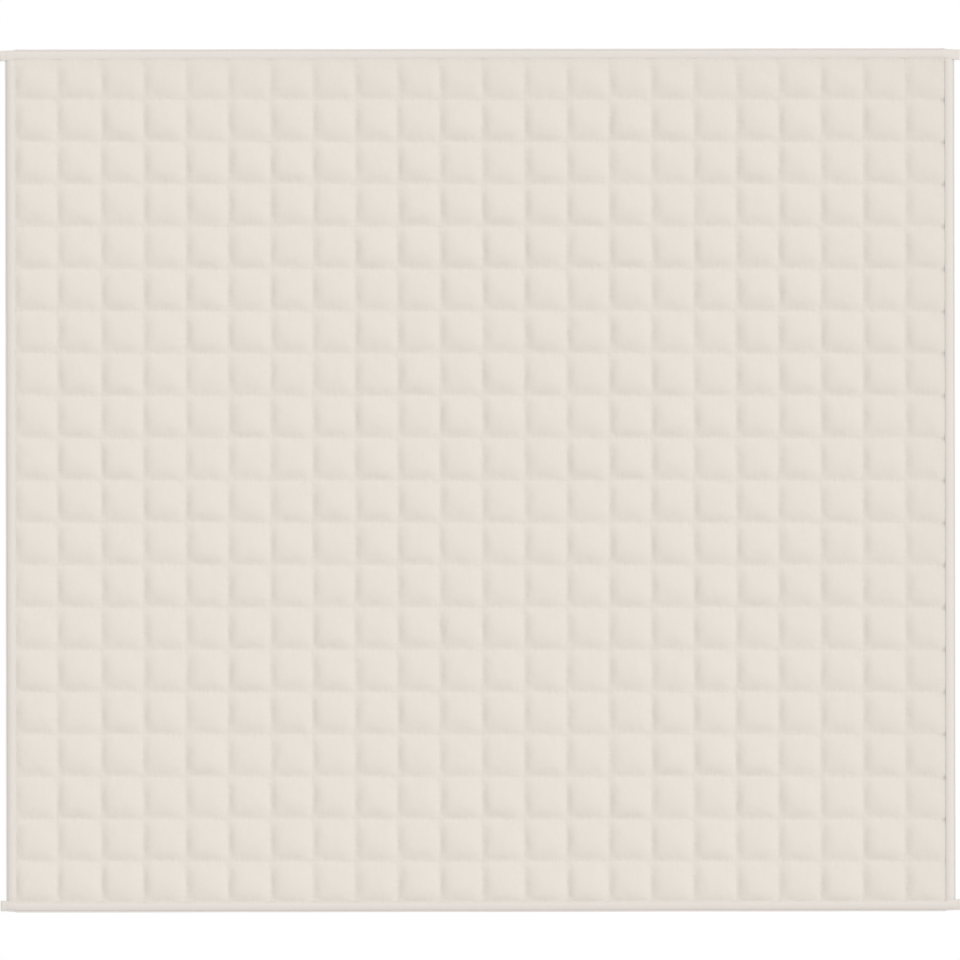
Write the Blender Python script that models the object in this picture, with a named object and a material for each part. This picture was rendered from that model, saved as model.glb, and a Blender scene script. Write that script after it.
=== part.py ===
"""A weighted blanket that lies flat: one quilted body of bead-filled square pockets, with its four
edges bound in folded strips. The top and bottom strips run a little past the corners.

Metres, +Z up. X runs along the 22 columns of pockets and Y along the 20 rows. The origin is the
middle of the underside, on the surface that the blanket lies on.
"""

import math
import random

import bmesh
import bpy

# The whole blanket, over its bound edges.
LENGTH = 2.200
WIDTH = 2.000

# The quilting: what sewing leaves of 100 mm squares, and where the middle seams lie.
COLUMNS = 22
ROWS = 20
POCKET = 0.098
MIDDLE_SEAM_X = 0.0056
MIDDLE_SEAM_Y = 0.0012
SEAM_UNEVENNESS = 0.0010
SEAM_SEED = 11

# Heights over the surface that it lies on.
SEAM_BOTTOM = 0.0018
SEAM_TOP = 0.0043
SHOULDER_HEIGHT = 0.0108
CROWN_HEIGHT = 0.0150
CROWN_UNEVENNESS = 0.08
FILLING_SEED = 23

# How far a pocket's shoulder and its flat underside lie in from the seams round it.
SHOULDER_INSET = 0.018
UNDERSIDE_INSET = 0.011

# The binding strips: fabric folded over the quilt's edge, which ends FOLD_DEPTH inside the fold.
CLEARANCE = 0.0003
FOLD_DEPTH = 0.0040
STRIP_HEIGHT = 0.0074
STRIP_STEP = 0.110
STRIP_WAVE = 0.0009
STRIP_END = 0.0125

# A row for each strip: its side, its width from the blanket's outer edge inwards, how far each end
# runs past the blanket's corner, and the seed of its unevenness.
BINDING = (
    {"side": "top", "width": 0.0238, "past_corner": STRIP_END, "seed": 1},
    {"side": "bottom", "width": 0.0245, "past_corner": STRIP_END, "seed": 2},
    {"side": "left", "width": 0.0224, "past_corner": 0.0, "seed": 3},
    {"side": "right", "width": 0.0234, "past_corner": 0.0, "seed": 4},
)
WIDTH_OF = {row["side"]: row["width"] for row in BINDING}

# A strip's outline: the share of its width, from the outer edge inwards, and the share of its height.
STRIP_OUTLINE = (
    {"across": 0.00, "up": 0.30},
    {"across": 0.04, "up": 0.08},
    {"across": 0.12, "up": 0.00},
    {"across": 0.97, "up": 0.00},
    {"across": 1.00, "up": 0.06},
    {"across": 1.00, "up": 0.74},
    {"across": 0.93, "up": 0.88},
    {"across": 0.78, "up": 0.98},
    {"across": 0.55, "up": 1.00},
    {"across": 0.32, "up": 0.93},
    {"across": 0.14, "up": 0.79},
    {"across": 0.03, "up": 0.55},
)

# How a strip's free end narrows and flattens: the distance in from its tip, and the shares of its
# full width and height there.
STRIP_TIP = (
    {"in_from_tip": 0.000, "width": 0.74, "height": 0.52},
    {"in_from_tip": 0.002, "width": 0.90, "height": 0.62},
    {"in_from_tip": 0.006, "width": 0.93, "height": 0.72},
    {"in_from_tip": 0.018, "width": 1.00, "height": 1.00},
)

COVER_COLOUR = (0.80, 0.75, 0.67)
BINDING_COLOUR = (0.78, 0.74, 0.69)


def clear_scene():
    for obj in list(bpy.data.objects):
        bpy.data.objects.remove(obj)


def collection(name):
    made = bpy.data.collections.new(name)
    bpy.context.scene.collection.children.link(made)
    return made


def cloth_material(name, colour):
    material = bpy.data.materials.new(name)
    material.use_nodes = True
    shader = material.node_tree.nodes["Principled BSDF"]
    shader.inputs["Base Color"].default_value = (*colour, 1.0)
    shader.inputs["Roughness"].default_value = 0.9
    shader.inputs["Metallic"].default_value = 0.0
    return material


def object_from(bm, name, home, material=None):
    """An object in the collection home from the finished bmesh, which is freed."""
    bmesh.ops.recalc_face_normals(bm, faces=bm.faces[:])
    mesh = bpy.data.meshes.new(name)
    bm.to_mesh(mesh)
    bm.free()
    obj = bpy.data.objects.new(name, mesh)
    home.objects.link(obj)
    if material:
        mesh.materials.append(material)
    return obj


def seam_lines(low_edge, high_edge, middle_seam, pockets):
    """Places of the quilt's edge lines and seams along one axis. The first and last lines are the
    quilt's own edges, inside the binding, and the next ones lie where the binding ends."""
    low_side, low_binding = low_edge
    high_side, high_binding = high_edge
    seams = [middle_seam + (n - pockets // 2 + 1) * POCKET for n in range(pockets - 1)]
    return [
        low_side + FOLD_DEPTH + CLEARANCE,
        low_side + low_binding + CLEARANCE,
        *seams,
        high_side - high_binding - CLEARANCE,
        high_side - FOLD_DEPTH - CLEARANCE,
    ]


def quilted_slab(lines_x, lines_y):
    """The quilt with its seams pressed to their thickness and its pockets not yet filled."""
    bm = bmesh.new()
    cells_x, cells_y = len(lines_x) - 1, len(lines_y) - 1
    bmesh.ops.create_grid(bm, x_segments=cells_x, y_segments=cells_y, size=0.5)
    wobble = random.Random(SEAM_SEED)
    for vert in bm.verts:
        column = round((vert.co.x + 0.5) * cells_x)
        row = round((vert.co.y + 0.5) * cells_y)
        vert.co = (lines_x[column], lines_y[row], SEAM_TOP)
        if 1 < column < cells_x - 1:
            vert.co.x += wobble.uniform(-SEAM_UNEVENNESS, SEAM_UNEVENNESS)
        if 1 < row < cells_y - 1:
            vert.co.y += wobble.uniform(-SEAM_UNEVENNESS, SEAM_UNEVENNESS)
    grown = bmesh.ops.extrude_face_region(bm, geom=bm.faces[:])["geom"]
    lower = [part for part in grown if isinstance(part, bmesh.types.BMVert)]
    bmesh.ops.translate(bm, verts=lower, vec=(0, 0, SEAM_BOTTOM - SEAM_TOP))
    bmesh.ops.recalc_face_normals(bm, faces=bm.faces[:])
    return bm


def fill_pocket(bm, face, evenness):
    """Raises one pocket's top to its shoulder and then to its crown."""
    shoulder = (SHOULDER_HEIGHT - SEAM_TOP) * evenness
    bmesh.ops.inset_individual(
        bm, faces=[face], thickness=SHOULDER_INSET, depth=shoulder, use_even_offset=True
    )
    crown = (CROWN_HEIGHT - SHOULDER_HEIGHT) * evenness
    bmesh.ops.poke(bm, faces=[face], offset=crown)


def press_underside(bm, face):
    """Lowers one pocket's underside to lie flat on the surface."""
    bmesh.ops.inset_individual(
        bm, faces=[face], thickness=UNDERSIDE_INSET, depth=SEAM_BOTTOM, use_even_offset=True
    )


def make_quilt(home, material):
    left, right = -LENGTH / 2, LENGTH / 2
    bottom, top = -WIDTH / 2, WIDTH / 2
    lines_x = seam_lines(
        (left, WIDTH_OF["left"]), (right, WIDTH_OF["right"]), MIDDLE_SEAM_X, COLUMNS
    )
    lines_y = seam_lines(
        (bottom, WIDTH_OF["bottom"]), (top, WIDTH_OF["top"]), MIDDLE_SEAM_Y, ROWS
    )
    bm = quilted_slab(lines_x, lines_y)

    def in_field(face):
        middle = face.calc_center_median()
        return lines_x[1] < middle.x < lines_x[-2] and lines_y[1] < middle.y < lines_y[-2]

    flat = [face for face in bm.faces if abs(face.normal.z) > 0.9 and in_field(face)]
    uppers = [face for face in flat if face.normal.z > 0]
    lowers = [face for face in flat if face.normal.z < 0]
    filling = random.Random(FILLING_SEED)
    for face in uppers:
        fill_pocket(bm, face, 1 + filling.uniform(-CROWN_UNEVENNESS, CROWN_UNEVENNESS))
    for face in lowers:
        press_underside(bm, face)
    return object_from(bm, "quilt", home, material)


def strip_stations(length, past_corner):
    """Where along a strip its sections stand, from 0 at its middle, with each one's shares of the
    full width and height."""
    half = length / 2
    count = 2 * math.ceil(half / STRIP_STEP)
    if not past_corner:
        return [(-half + length * n / count, 1.0, 1.0) for n in range(count + 1)]
    tips = [(half - row["in_from_tip"], row["width"], row["height"]) for row in STRIP_TIP]
    plain = half - STRIP_TIP[-1]["in_from_tip"]
    inner = [(-plain + 2 * plain * n / count, 1.0, 1.0) for n in range(1, count)]
    return [(-at, w, h) for at, w, h in tips] + inner + [(at, w, h) for at, w, h in reversed(tips)]


def strip_point(width, width_share, height_share, outline_point):
    """One point of a strip's section: how far outwards from the strip's inner edge, and how far up."""
    outwards = width * width_share * (1 - outline_point["across"])
    return outwards, STRIP_HEIGHT * height_share * outline_point["up"]


def shaped_bar(stations, width, wander):
    """A closed bar along X. It starts as a cylinder with a side for each point of the outline, is cut
    across at each station, and then takes the outline there. Its outer edge wanders a little."""
    bm = bmesh.new()
    sides = len(STRIP_OUTLINE)
    bmesh.ops.create_cone(
        bm, cap_ends=True, segments=sides, radius1=1.0, radius2=1.0, depth=len(stations) - 1
    )
    for cut in range(1, len(stations) - 1):
        height = cut - (len(stations) - 1) / 2
        geometry = bm.verts[:] + bm.edges[:] + bm.faces[:]
        bmesh.ops.bisect_plane(bm, geom=geometry, plane_co=(0, 0, height), plane_no=(0, 0, 1))
    widths = [width - wander.uniform(0, STRIP_WAVE) for _ in stations]
    for vert in bm.verts:
        station = round(vert.co.z + (len(stations) - 1) / 2)
        corner = round(math.atan2(vert.co.y, vert.co.x) / math.tau * sides) % sides
        at, width_share, height_share = stations[station]
        outwards, up = strip_point(
            widths[station], width_share, height_share, STRIP_OUTLINE[corner]
        )
        vert.co = (at, outwards, up)
    return bm


def box(name, home, size, centre):
    """A cutter: a box that isn't rendered."""
    bm = bmesh.new()
    bmesh.ops.create_cube(bm, size=1.0)
    bmesh.ops.scale(bm, vec=size, verts=bm.verts[:])
    bmesh.ops.translate(bm, vec=centre, verts=bm.verts[:])
    made = object_from(bm, name, home)
    made.hide_render = True
    made.display_type = "WIRE"
    return made


def make_strip(row, home, cutters, material):
    """One binding strip. It is worked out lying along X with its inner edge at y 0, then turned to
    its side of the blanket."""
    upright = row["side"] in ("left", "right")
    across = LENGTH / 2 if upright else WIDTH / 2
    angle = math.radians({"top": 0, "left": 90, "bottom": 180, "right": 270}[row["side"]])
    if upright:
        low_end = -WIDTH / 2 + WIDTH_OF["bottom"] + CLEARANCE
        high_end = WIDTH / 2 - WIDTH_OF["top"] - CLEARANCE
        length, middle = high_end - low_end, (high_end + low_end) / 2
    else:
        length, middle = LENGTH + 2 * row["past_corner"], 0.0

    stations = strip_stations(length, row["past_corner"])
    bar = shaped_bar(stations, row["width"], random.Random(row["seed"]))
    strip = object_from(bar, f"binding_{row['side']}", home, material)

    slot = box(
        f"slot_{row['side']}",
        cutters,
        size=(
            length * 2 if upright else LENGTH - 2 * FOLD_DEPTH,
            2 * (row["width"] - FOLD_DEPTH),
            SEAM_TOP - SEAM_BOTTOM + 2 * CLEARANCE,
        ),
        centre=(0, 0, (SEAM_TOP + SEAM_BOTTOM) / 2),
    )
    cut = strip.modifiers.new("quilt_edge", "BOOLEAN")
    cut.operation = "DIFFERENCE"
    cut.solver = "EXACT"
    cut.object = slot

    side = bpy.data.objects.new(f"{row['side']}_edge", None)
    home.objects.link(side)
    inner_edge = across - row["width"]
    side.rotation_euler.z = angle
    side.location = (-math.sin(angle) * inner_edge, math.cos(angle) * inner_edge, 0)
    if upright:
        side.location.y = middle
    strip.parent = side
    slot.parent = side


def main():
    clear_scene()
    home = collection("weighted_blanket")
    cutters = collection("cutters")
    cover = cloth_material("quilt_cover", COVER_COLOUR)
    tape = cloth_material("binding_tape", BINDING_COLOUR)
    make_quilt(home, cover)
    for row in BINDING:
        make_strip(row, home, cutters, tape)


main()
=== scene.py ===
"""The looks of a quilted weighted blanket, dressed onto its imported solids.

The cover is one padded body, whose pockets are filled out by a cloth simulation between their seams.
Four folded tapes bind its edges, and rows of stitches run along the seams and the tapes. Metres, with
the blanket lying flat on z 0, its 22 columns of pockets along X and its 20 rows along Y.
"""

import math

import bpy
import numpy as np
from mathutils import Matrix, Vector, noise


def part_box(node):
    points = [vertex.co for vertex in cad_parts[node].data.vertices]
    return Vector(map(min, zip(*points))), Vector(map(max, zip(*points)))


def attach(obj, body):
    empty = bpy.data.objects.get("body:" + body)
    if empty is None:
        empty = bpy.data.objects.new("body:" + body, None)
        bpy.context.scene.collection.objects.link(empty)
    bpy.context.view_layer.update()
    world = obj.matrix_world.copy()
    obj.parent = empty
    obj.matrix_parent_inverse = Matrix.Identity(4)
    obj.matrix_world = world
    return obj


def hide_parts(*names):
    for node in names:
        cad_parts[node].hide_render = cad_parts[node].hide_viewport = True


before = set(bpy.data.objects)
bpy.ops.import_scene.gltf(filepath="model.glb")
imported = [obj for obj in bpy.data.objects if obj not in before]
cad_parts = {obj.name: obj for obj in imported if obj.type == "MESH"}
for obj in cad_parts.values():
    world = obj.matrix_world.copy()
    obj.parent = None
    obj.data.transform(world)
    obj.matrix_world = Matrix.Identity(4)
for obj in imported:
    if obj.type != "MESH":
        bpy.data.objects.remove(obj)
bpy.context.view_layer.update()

# ---------------------------------------------------------------- the quilting

COLUMNS = 22
ROWS = 20
POCKET = 0.098
MIDDLE_SEAM_X = 0.0047
MIDDLE_SEAM_Y = 0.0012
SEAM_TOP = 0.0043
SEAM_BOTTOM = 0.0018
SEAM_WANDER = (
    {"size": 0.0015, "length": 0.150},
    {"size": 0.0012, "length": 0.055},
)
WANDER_SEED = 23

# The quilting is a touch askew in its binding, as a turn in radians, and its seam nearest the left
# binding lies a little further out.
SEAM_TURN = 0.0015
LEFT_SEAM_OUT = 0.0037

# How much higher the seams stand between their crossings, where the stitches pull hardest, and how
# soon they get there.
SEAM_RISE = 0.0012
SEAM_RISE_LENGTH = 0.010

# Where the lines of the cover's mesh cross a pocket, as shares of its width. The underside takes
# only some of these lines, by their place in the list.
TOP_SHARES = (
    0, 0.036, 0.082, 0.143, 0.219, 0.306, 0.403, 0.5, 0.597, 0.694, 0.781, 0.857, 0.918, 0.964, 1
)
UNDERSIDE_LINES = (0, 2, 7, 12)
STEPS = len(TOP_SHARES) - 1

# How the pockets are filled before the cloth settles: a dome that is steep beside the seams along Y
# and rounder along them, fuller towards its left and lower sides, and a little fuller or leaner and
# off its middle from pocket to pocket.
DOME = 0.0094
DOME_SHOULDER = 2.5
DOME_UNEVENNESS = 0.18
DOME_LEAN = (-0.24, -0.18)
DOME_LEAN_UNEVENNESS = (0.10, 0.17)
RIPPLE = 0.00025
FILLING_SEED = 23

# How the filled cover is held down across X and across Y: over what length beside a seam or beside
# the binding, and the share of its height that it keeps right beside it.
DRAWN = {
    "column_seam": {"length": 0.0062, "kept": 0.14},
    "row_seam": {"length": 0.0085, "kept": 0.33},
    "left": {"length": 0.0065, "kept": 0.15},
    "right": {"length": 0.0100, "kept": 0.10},
    "bottom": {"length": 0.0040, "kept": 0.40},
    "top": {"length": 0.0180, "kept": 0.00},
}

# The outermost pockets along the right and the top binding are leaner. Beside the top binding the
# cover stands a little higher, and where a row seam meets the right binding it's pulled into a pit,
# a little inwards of the binding and below the seam.
LAST_COLUMN_FILL = 0.82
LAST_ROW_FILL = 0.72
TOP_SHOULDER = 0.0011
TOP_SHOULDER_LENGTH = 0.004
PIT = 0.0012
PIT_LENGTH = 0.0040
PIT_WIDTH = 0.0045
PIT_IN = 0.0042
PIT_BELOW = 0.0030

# How much of a pit's painted shade the cover has beside the right and the top binding, where less
# light reaches it, and over what length that fades.
SHADED = (
    {"side": "right", "share": 0.12, "length": 0.004},
    {"side": "right", "share": 0.14, "length": 0.070},
    {"side": "top", "share": 0.14, "length": 0.070},
)

# The cloth simulation: how much cloth there is to spare, and how hard the filling lifts it.
SPARE_CLOTH = 0.010
LIFT = 12.0
SIMULATED_FRAMES = 16

# ---------------------------------------------------------------- the binding

# A strip's outer face, from its inner edge over the top, round the blanket's outer edge and back
# underneath: the share of its width outwards from its inner edge, and the height.
STRIP_FACE = (
    {"out": 0.000, "up": 0.0044},
    {"out": 0.000, "up": 0.0049},
    {"out": 0.010, "up": 0.0053},
    {"out": 0.040, "up": 0.0059},
    {"out": 0.080, "up": 0.0064},
    {"out": 0.125, "up": 0.0069},
    {"out": 0.220, "up": 0.0076},
    {"out": 0.315, "up": 0.0079},
    {"out": 0.420, "up": 0.0077},
    {"out": 0.520, "up": 0.0072},
    {"out": 0.620, "up": 0.0065},
    {"out": 0.710, "up": 0.0055},
    {"out": 0.765, "up": 0.0045},
    {"out": 0.805, "up": 0.0033},
    {"out": 0.835, "up": 0.0025},
    {"out": 0.875, "up": 0.0026},
    {"out": 0.925, "up": 0.0028},
    {"out": 0.965, "up": 0.0026},
    {"out": 0.990, "up": 0.0021},
    {"out": 1.000, "up": 0.0013},
    {"out": 0.990, "up": 0.0005},
    {"out": 0.960, "up": 0.0001},
    {"out": 0.700, "up": 0.0000},
    {"out": 0.350, "up": 0.0000},
    {"out": 0.150, "up": 0.0004},
    {"out": 0.050, "up": 0.0008},
    {"out": 0.010, "up": 0.0009},
    {"out": 0.000, "up": 0.0012},
    {"out": 0.000, "up": 0.0016},
)
STRIP_TOP = max(row["up"] for row in STRIP_FACE)
OUTER_EDGE = [row["out"] for row in STRIP_FACE].index(1.0)

# The tape's thickness, the gap in it where a strip is pressed flat, how far a strip's outer edge
# stays inside its solid, and how far in from there the cover's sewn edge ends.
TAPE = 0.0008
TAPE_GAP = 0.0001
STRIP_INSET = 0.0004
FLANGE_INSET = 0.0105

# How far apart a strip's sections are, and how much its width, its fullness and its fine puckers
# vary from section to section.
STRIP_STEP = 0.005
STRIP_WANDER = 0.00025
STRIP_FULLNESS = 0.05
STRIP_PUCKER = 0.00014

# How a strip's free end, past the blanket's corner, is pressed together and skewed: the distance in
# from its tip, the shares of its fullness and of its width there, and how far it is drawn inwards.
FREE_END = (
    {"in": 0.0000, "full": 0.03, "wide": 0.97, "drawn": 0.0027},
    {"in": 0.0007, "full": 0.22, "wide": 1.00, "drawn": 0.0030},
    {"in": 0.0020, "full": 0.42, "wide": 1.01, "drawn": 0.0032},
    {"in": 0.0045, "full": 0.64, "wide": 1.02, "drawn": 0.0033},
    {"in": 0.0065, "full": 0.38, "wide": 1.02, "drawn": 0.0033},
    {"in": 0.0125, "full": 0.60, "wide": 1.02, "drawn": 0.0033},
    {"in": 0.0200, "full": 0.88, "wide": 1.01, "drawn": 0.0024},
    {"in": 0.0320, "full": 1.00, "wide": 1.00, "drawn": 0.0018},
    {"in": 0.0370, "full": 1.00, "wide": 1.00, "drawn": 0.0000},
)

# Lines of painted shade on a free end, each by where it fades: the crease's line and the line on a
# left-hand tip by their distance from the tip, and the line on the free inner edge by its distance
# from the side strip and by its share of the width.
LINE_RUNS_OUT = (0.026, 0.044)
TIP_PAINTED_SHADE = (0.0010, 0.0030)
INNER_EDGE_PAINTED_SHADE = (-0.001, 0.002)
INNER_EDGE_WIDTH = (0.03, 0.12)

# The side strips' ends are tucked under the top and bottom strips, squeezed to a lowest and a
# highest height. The tape over them follows their shape, from its inner edge until its middle.
TUCK = 0.003
TUCK_TAPER = 0.0090
TUCKED_LOW = 0.0009
TUCKED_HIGH = 0.0052
TUCKED_END = (0.0, 0.0028, 0.0033, 0.0041, 0.0060, 0.0100, 0.0160)
DRAPED = (0.0035, 0.0130)

# Where that tape rises, from the side strip's outer edge, and falls, from its inner edge. From the
# blanket's corner inwards, the tape's sections lie close together.
DRAPE_RISES = (-0.004, 0.002)
DRAPE_FALLS = (-0.004, 0.010)
CROSSING_FROM = 0.0125
CROSSING_STEP = 0.0018

# A row for each strip: which way it faces, how full it is, how far its inner edge stands over its
# plain height, how far its top layer laps over the cover, and by what shares of its width its crease
# lies further out, and the crease's line of painted shade moves outwards on its free ends.
BINDING = (
    {
        "side": "top", "outwards": (0, 1), "full": 0.65, "raised": 0.0009, "lap": 0.0,
        "crease_out": -0.005, "line_runs_out": 0.50,
    },
    {
        "side": "bottom", "outwards": (0, -1), "full": 0.95, "raised": 0.0, "lap": 0.0,
        "crease_out": 0.016, "line_runs_out": 0.08,
    },
    {
        "side": "left", "outwards": (-1, 0), "full": 1.0, "raised": 0.0009, "lap": 0.001,
        "crease_out": 0.042, "line_runs_out": 0.0,
    },
    {
        "side": "right", "outwards": (1, 0), "full": 1.0, "raised": 0.0009, "lap": 0.0,
        "crease_out": 0.046, "line_runs_out": 0.0,
    },
)

# As shares of a strip's width: where its crease lies and how far the crease's painted shade spreads,
# the middle and the reach of the part that is shifted with it, and how far in the inner edge is
# raised. Also how dark the painted shade in the crease is.
CREASE = 0.835
CREASE_SPREAD = 0.045
CREASE_PAINTED_SHADE = 0.14
SHIFT_MIDDLE = 0.86
SHIFT_REACH = 0.14
RAISED_REACH = 0.3

# Over what lengths a strip's width, its fullness and its fine puckers change along it, and how many
# puckers there are across it.
STRIP_WANDER_LENGTHS = (0.21, 0.047)
STRIP_FULLNESS_LENGTH = 0.09
STRIP_PUCKER_LENGTH = 0.010
STRIP_PUCKERS_ACROSS = 25

# ---------------------------------------------------------------- the stitches

STITCH_PITCH = 0.0034
SEAM_STITCH = (0.0026, 0.00050, 0.00030)
BINDING_STITCH = (0.0026, 0.00055, 0.00040)
BINDING_STITCH_INSET = 0.0026
STITCH_RISE = 0.00006

# How many of a strip's sections at each of its ends have no stitches.
UNSTITCHED = 3

# ---------------------------------------------------------------- the cloths

COVER_COLOUR = (0.770, 0.719, 0.654)
TAPE_COLOUR = (0.757, 0.709, 0.662)
THREAD_COLOUR = (0.800, 0.760, 0.700)

# How much the uneven dyeing and the weave change a cloth's colour, how high its weave stands, and
# how high its wrinkles do.
DYE_TONE = 0.012
WEAVE_TONE = 0.02
WEAVE_HEIGHT = 0.00004
COVER_WRINKLES = 0.0014
TAPE_WRINKLES = 0.0006

# How far the cover's puckers reach from a seam, how fine they are along it and across it, how dark
# the cover is in a seam, from its needle holes and painted shade in its groove, and how fast that
# fades, and how dark the painted shade in a pit is.
PUCKER_REACH = 0.016
PUCKERS = {"along": 95, "across": 30}
SEAM_HOLES_AND_PAINTED_SHADE = 0.015
SEAM_FADE = 900.0
PAINTED_SHADE_DARKNESS = 0.18

# How rough each cloth is, and how much its uneven dyeing changes that.
COVER_ROUGHNESS = 0.85
TAPE_ROUGHNESS = 0.8
THREAD_ROUGHNESS = 0.6
DYE_ROUGHNESS = 0.04

# ---------------------------------------------------------------- the studio

KEY_AZIMUTH = math.radians(36)
KEY_ELEVATION = math.radians(45)
KEY_STRENGTH = 0.90
KEY_SOFTNESS = math.radians(20)
KEY_COLOUR = (0.930, 1.019, 1.019)
SURROUND_STRENGTH = 0.963
SURROUND_OVERHEAD = 0.45
SURROUND_COLOUR = (1.017, 0.995, 0.995, 1)
FLOOR_HALF = 30.0
FLOOR_GAP = 0.0002
FLOOR_COLOUR = (0.25, 0.25, 0.25, 1)
FLOOR_GLOW = 0.735
VIEW_WIDTH = 2.2243
VIEW_CENTRE = (-0.00086, 0.00075)
VIEW_ROLL = math.radians(-0.09)
LENS = 135.0
SENSOR = 36.0


# ---------------------------------------------------------------- small tools

def object_from(name, points, faces):
    """A smooth-shaded mesh object from its points and faces."""
    mesh = bpy.data.meshes.new(name)
    mesh.from_pydata(np.asarray(points, float).reshape(-1, 3).tolist(), [], faces)
    mesh.shade_smooth()
    made = bpy.data.objects.new(name, mesh)
    bpy.context.scene.collection.objects.link(made)
    return made


def grid_faces(numbers):
    """The four-sided faces of a grid of point numbers, its first index along X and facing up."""
    corners = (numbers[:-1, :-1], numbers[1:, :-1], numbers[1:, 1:], numbers[:-1, 1:])
    return np.stack(corners, -1).reshape(-1, 4).tolist()


def keep_values(piece, name, values):
    """Stores one value for each point of the piece, for its material to read."""
    stored = piece.data.attributes.new(name, "FLOAT", "POINT")
    stored.data.foreach_set("value", np.asarray(values, np.float32).ravel())


def smooth_share(values, start, end):
    """0 up to start and 1 from end on, with a soft rise between them."""
    share = np.clip((np.asarray(values) - start) / (end - start), 0, 1)
    return share * share * (3 - 2 * share)


def unevenness(places, length, seed):
    """Soft noise of about -1 to 1 along a line of places, which changes over the given length."""
    return np.array([2 * noise.noise(Vector((place / length, 7.3 * seed, 0.5))) for place in places])


# ---------------------------------------------------------------- the cover

def binding_edges():
    """The binding's inner edges, as the lowest and the highest place along X and along Y."""
    return (
        (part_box("binding_left")[1].x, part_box("binding_right")[0].x),
        (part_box("binding_bottom")[1].y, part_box("binding_top")[0].y),
    )


def cover_lines(inner_edges, middle_seam, pockets, first_out=0.0):
    """Places of the lines of the cover's mesh along one axis, from binding to binding."""
    low, high = inner_edges
    seams = [middle_seam + (n - pockets // 2 + 1) * POCKET for n in range(pockets - 1)]
    seams[0] -= first_out
    edges = [low, *seams, high]
    lines = [low]
    for start, end in zip(edges, edges[1:]):
        lines += [start + (end - start) * share for share in TOP_SHARES[1:]]
    return np.array(lines)


def flat_cover():
    """The upper cover's points as it is sewn, flat at seam height, and which of them are sewn down."""
    inner_x, inner_y = binding_edges()
    lines_x = cover_lines(inner_x, MIDDLE_SEAM_X, COLUMNS, LEFT_SEAM_OUT)
    lines_y = cover_lines(inner_y, MIDDLE_SEAM_Y, ROWS)
    across, along = np.meshgrid(lines_x, lines_y, indexing="ij")
    flat = np.stack([across, along, seam_height(*seam_distances(*sewn_lines(across.shape)))], -1)
    noise.seed_set(WANDER_SEED)
    for point in flat.reshape(-1, 3):
        place = Vector(point)
        for wander in SEAM_WANDER:
            shift = noise.noise_vector(place / wander["length"])
            point[:2] += np.array(shift[:2]) * wander["size"]
        point[:2] += SEAM_TURN * place.y, -SEAM_TURN * place.x
    on_seam_x = np.arange(len(lines_x)) % STEPS == 0
    on_seam_y = np.arange(len(lines_y)) % STEPS == 0
    return flat, on_seam_x[:, None] | on_seam_y[None, :]


def filled(flat, sewn):
    """The flat cover with a dome in each pocket, no two filled quite alike."""
    rng = np.random.default_rng(FILLING_SEED)
    i, j = np.indices(sewn.shape)
    pocket = (i // STEPS, j // STEPS)
    pockets = (COLUMNS + 1, ROWS + 1)
    fill = 1 + rng.uniform(-DOME_UNEVENNESS, DOME_UNEVENNESS, pockets)
    fill[COLUMNS - 1] *= LAST_COLUMN_FILL
    fill[:, ROWS - 1] *= LAST_ROW_FILL
    lean_share = rng.uniform(-1, 1, (*pockets, 2)) * DOME_LEAN_UNEVENNESS + DOME_LEAN
    lean = np.moveaxis(np.exp(lean_share), 2, 0)
    shares = np.array(TOP_SHARES)
    across = shares[i % STEPS] ** lean[0][pocket]
    along = shares[j % STEPS] ** lean[1][pocket]
    bulge = (1 - abs(1 - 2 * across) ** DOME_SHOULDER) * np.sin(np.pi * along)
    points = flat + rng.normal(0, RIPPLE, flat.shape) * ~sewn[..., None]
    points[..., 2] += np.where(sewn, 0, DOME * fill[pocket] * bulge)
    return points


def settled(points, sewn):
    """Lets the filling lift the cover between its seams, as a cloth simulation with spare cloth."""
    numbers = np.arange(sewn.size).reshape(sewn.shape)
    cloth_piece = object_from("unsettled_cover", points, grid_faces(numbers))
    held = cloth_piece.vertex_groups.new(name="sewn")
    held.add(numbers[sewn].tolist(), 1.0, "REPLACE")
    cloth = cloth_piece.modifiers.new("filling", "CLOTH")
    cloth.settings.quality = 4
    cloth.settings.mass = 0.2
    cloth.settings.tension_stiffness = 20
    cloth.settings.compression_stiffness = 20
    cloth.settings.shear_stiffness = 8
    cloth.settings.bending_stiffness = 3
    cloth.settings.tension_damping = 8
    cloth.settings.compression_damping = 8
    cloth.settings.shear_damping = 6
    cloth.settings.air_damping = 4
    cloth.settings.vertex_group_mass = held.name
    cloth.settings.shrink_min = -SPARE_CLOTH
    cloth.collision_settings.use_collision = False
    cloth.point_cache.frame_start = 1
    cloth.point_cache.frame_end = SIMULATED_FRAMES
    scene = bpy.context.scene
    scene.gravity = (0, 0, LIFT)
    for step in range(1, SIMULATED_FRAMES + 1):
        scene.frame_set(step)
    depsgraph = bpy.context.evaluated_depsgraph_get()
    result = bpy.data.meshes.new_from_object(cloth_piece.evaluated_get(depsgraph))
    found = np.zeros(points.size)
    result.vertices.foreach_get("co", found)
    scene.frame_set(1)
    scene.gravity = (0, 0, -9.81)
    bpy.data.objects.remove(cloth_piece)
    bpy.data.meshes.remove(result)
    return found.reshape(points.shape)


def sewn_lines(shape):
    """The numbers of the upper cover's lines across X and across Y, counted with the flange's."""
    return range(1, shape[0] + 1), range(1, shape[1] + 1)


def seam_height(off_x, off_y):
    """The height of the sewn-down cover, which is lowest where two seams cross."""
    from_crossing = np.maximum(off_x, off_y)
    return SEAM_TOP + SEAM_RISE * (0.5 - np.exp(-from_crossing / SEAM_RISE_LENGTH))


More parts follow.
